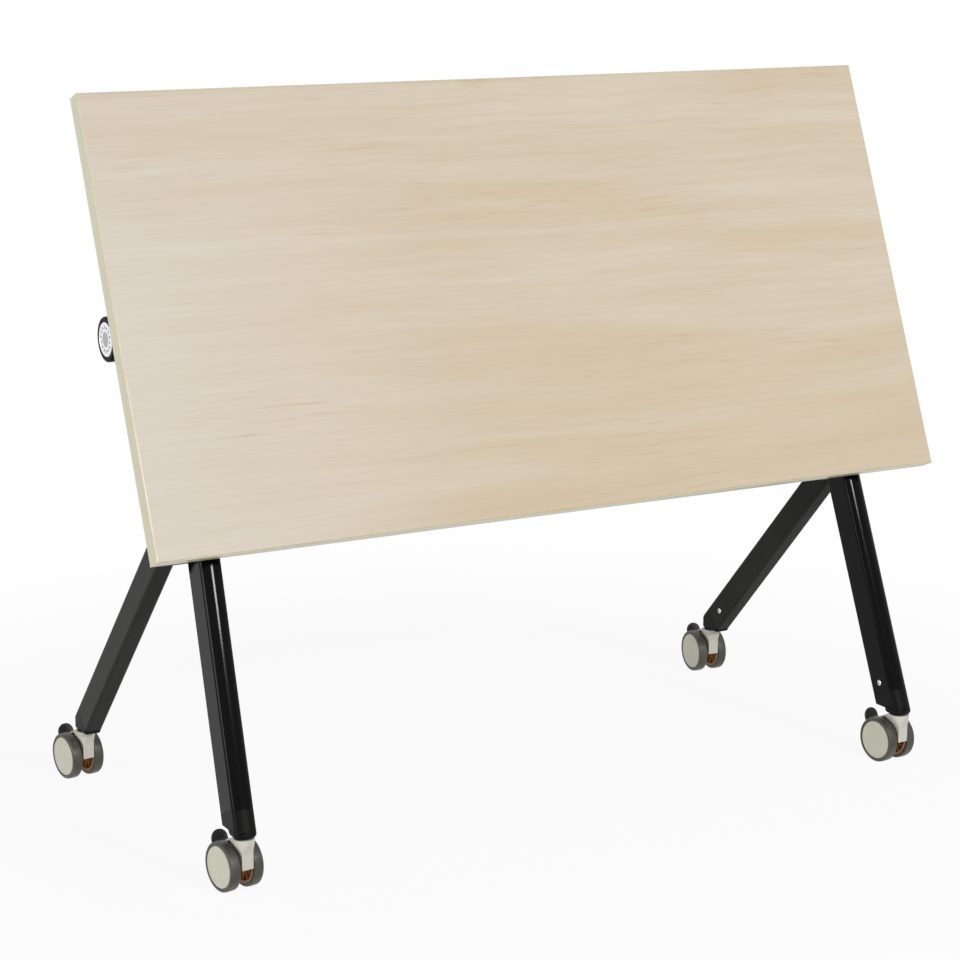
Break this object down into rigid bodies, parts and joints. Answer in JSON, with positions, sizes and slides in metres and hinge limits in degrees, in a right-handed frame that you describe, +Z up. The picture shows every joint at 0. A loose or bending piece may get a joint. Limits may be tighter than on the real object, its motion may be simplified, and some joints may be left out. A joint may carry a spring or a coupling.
{
  "type": "flip-top training table",
  "caption": "Flip-top nesting table: pale laminate top leaning back on a round crossbeam, black splayed legs, braked twin-wheel castors.",
  "frame": {"origin": "middle of the footprint, on the floor", "axes": "+Z up, +X along the top's length, the user's side towards -Y"},
  "size_m": [1.2, 0.583, 0.9813],
  "materials": {
    "laminate": "satin wood-grain laminate",
    "edge_band": "satin",
    "leg_paint": "gloss black paint on extruded aluminium",
    "black_metal": "black powder coat",
    "black_plastic": "matte",
    "silver": "brushed",
    "bush": "plain acetal",
    "lever": "satin",
    "ivory_plastic": "satin",
    "tyre": "matte",
    "pedal": "satin",
    "steel": "bright"
  },
  "bodies": {
    "frame": {"crossbeam_tube": "black_metal", "end_cap_left": "black_plastic", "end_plate_left": "silver", "leg_head_left": "black_metal", "front_leg_left": "leg_paint", "rear_leg_left": "leg_paint", "leg_joint_left": "black_metal", "front_foot_left": "black_plastic", "rear_foot_left": "black_plastic", "end_cap_right": "black_plastic", "end_plate_right": "silver", "leg_head_right": "black_metal", "front_leg_right": "leg_paint", "rear_leg_right": "leg_paint", "leg_joint_right": "black_metal", "front_foot_right": "black_plastic", "rear_foot_right": "black_plastic", "castor_stem_front_left": "steel", "castor_stem_rear_left": "steel", "castor_stem_front_right": "steel", "castor_stem_rear_right": "steel"},
    "top": {"tabletop_board": "laminate", "edge_band_front": "edge_band", "edge_band_rear": "edge_band", "edge_band_left": "edge_band", "edge_band_right": "edge_band", "flip_bracket_left": "black_metal", "bracket_bush_left": "bush", "flip_bracket_right": "black_metal", "bracket_bush_right": "bush"},
    "lever_left": {"lock_lever_left": "lever"},
    "lever_right": {"lock_lever_right": "lever"},
    "castor_front_left": {"castor_housing_front_left": "ivory_plastic", "castor_axle_front_left": "steel"},
    "pedal_front_left": {"brake_pedal_front_left": "pedal"},
    "wheel_left_front_left_body": {"wheel_left_front_left": "ivory_plastic", "tyre_left_front_left": "tyre"},
    "wheel_right_front_left_body": {"wheel_right_front_left": "ivory_plastic", "tyre_right_front_left": "tyre"},
    "castor_rear_left": {"castor_housing_rear_left": "ivory_plastic", "castor_axle_rear_left": "steel"},
    "pedal_rear_left": {"brake_pedal_rear_left": "pedal"},
    "wheel_left_rear_left_body": {"wheel_left_rear_left": "ivory_plastic", "tyre_left_rear_left": "tyre"},
    "wheel_right_rear_left_body": {"wheel_right_rear_left": "ivory_plastic", "tyre_right_rear_left": "tyre"},
    "castor_front_right": {"castor_housing_front_right": "ivory_plastic", "castor_axle_front_right": "steel"},
    "pedal_front_right": {"brake_pedal_front_right": "pedal"},
    "wheel_left_front_right_body": {"wheel_left_front_right": "ivory_plastic", "tyre_left_front_right": "tyre"},
    "wheel_right_front_right_body": {"wheel_right_front_right": "ivory_plastic", "tyre_right_front_right": "tyre"},
    "castor_rear_right": {"castor_housing_rear_right": "ivory_plastic", "castor_axle_rear_right": "steel"},
    "pedal_rear_right": {"brake_pedal_rear_right": "pedal"},
    "wheel_left_rear_right_body": {"wheel_left_rear_right": "ivory_plastic", "tyre_left_rear_right": "tyre"},
    "wheel_right_rear_right_body": {"wheel_right_rear_right": "ivory_plastic", "tyre_right_rear_right": "tyre"}
  },
  "joints": [
    {"name": "top_flip", "type": "hinge", "parent": "frame", "child": "top", "pos_m": [0, -0.04079, 0.675], "axis": [-1, 0, 0], "range_deg": [0, 68]},
    {"name": "lock_left", "type": "hinge", "parent": "top", "child": "lever_left", "pos_m": [-0.5174, -0.09198, 0.63906], "axis": [1, 0, 0], "range_deg": [0, 10]},
    {"name": "lock_right", "type": "hinge", "parent": "top", "child": "lever_right", "pos_m": [0.5174, -0.09198, 0.63906], "axis": [1, 0, 0], "range_deg": [0, 10]},
    {"name": "swivel_front_left", "type": "hinge", "parent": "frame", "child": "castor_front_left", "pos_m": [-0.5154, -0.27451, 0.06], "axis": [0, 0, 1], "continuous": true},
    {"name": "brake_front_left", "type": "hinge", "parent": "castor_front_left", "child": "pedal_front_left", "pos_m": [-0.52062, -0.23737, 0.0501], "axis": [-0.9903, -0.1392, 0], "range_deg": [0, 20]},
    {"name": "spin_left_front_left", "type": "hinge", "parent": "castor_front_left", "child": "wheel_left_front_left_body", "pos_m": [-0.53526, -0.25357, 0.0325], "axis": [0.9903, 0.1392, 0], "continuous": true},
    {"name": "spin_right_front_left", "type": "hinge", "parent": "castor_front_left", "child": "wheel_right_front_left_body", "pos_m": [-0.50208, -0.24891, 0.0325], "axis": [0.9903, 0.1392, 0], "continuous": true},
    {"name": "swivel_rear_left", "type": "hinge", "parent": "frame", "child": "castor_rear_left", "pos_m": [-0.53333, 0.23049, 0.06], "axis": [0, 0, 1], "continuous": true},
    {"name": "brake_rear_left", "type": "hinge", "parent": "castor_rear_left", "child": "pedal_rear_left", "pos_m": [-0.53855, 0.26763, 0.0501], "axis": [-0.9903, -0.1392, 0], "range_deg": [0, 20]},
    {"name": "spin_left_rear_left", "type": "hinge", "parent": "castor_rear_left", "child": "wheel_left_rear_left_body", "pos_m": [-0.55319, 0.25143, 0.0325], "axis": [0.9903, 0.1392, 0], "continuous": true},
    {"name": "spin_right_rear_left", "type": "hinge", "parent": "castor_rear_left", "child": "wheel_right_rear_left_body", "pos_m": [-0.52001, 0.25609, 0.0325], "axis": [0.9903, 0.1392, 0], "continuous": true},
    {"name": "swivel_front_right", "type": "hinge", "parent": "frame", "child": "castor_front_right", "pos_m": [0.5154, -0.27451, 0.06], "axis": [0, 0, 1], "continuous": true},
    {"name": "brake_front_right", "type": "hinge", "parent": "castor_front_right", "child": "pedal_front_right", "pos_m": [0.51213, -0.23715, 0.0501], "axis": [-0.9962, -0.0872, 0], "range_deg": [0, 20]},
    {"name": "spin_left_front_right", "type": "hinge", "parent": "castor_front_right", "child": "wheel_left_front_right_body", "pos_m": [0.49667, -0.25256, 0.0325], "axis": [0.9962, 0.0872, 0], "continuous": true},
    {"name": "spin_right_front_right", "type": "hinge", "parent": "castor_front_right", "child": "wheel_right_front_right_body", "pos_m": [0.53004, -0.24964, 0.0325], "axis": [0.9962, 0.0872, 0], "continuous": true},
    {"name": "swivel_rear_right", "type": "hinge", "parent": "frame", "child": "castor_rear_right", "pos_m": [0.53333, 0.23049, 0.06], "axis": [0, 0, 1], "continuous": true},
    {"name": "brake_rear_right", "type": "hinge", "parent": "castor_rear_right", "child": "pedal_rear_right", "pos_m": [0.5366, 0.26785, 0.0501], "axis": [-0.9962, 0.0872, 0], "range_deg": [0, 20]},
    {"name": "spin_left_rear_right", "type": "hinge", "parent": "castor_rear_right", "child": "wheel_left_rear_right_body", "pos_m": [0.51869, 0.25536, 0.0325], "axis": [0.9962, -0.0872, 0], "continuous": true},
    {"name": "spin_right_rear_right", "type": "hinge", "parent": "castor_rear_right", "child": "wheel_right_rear_right_body", "pos_m": [0.55206, 0.25244, 0.0325], "axis": [0.9962, -0.0872, 0], "continuous": true}
  ]
}
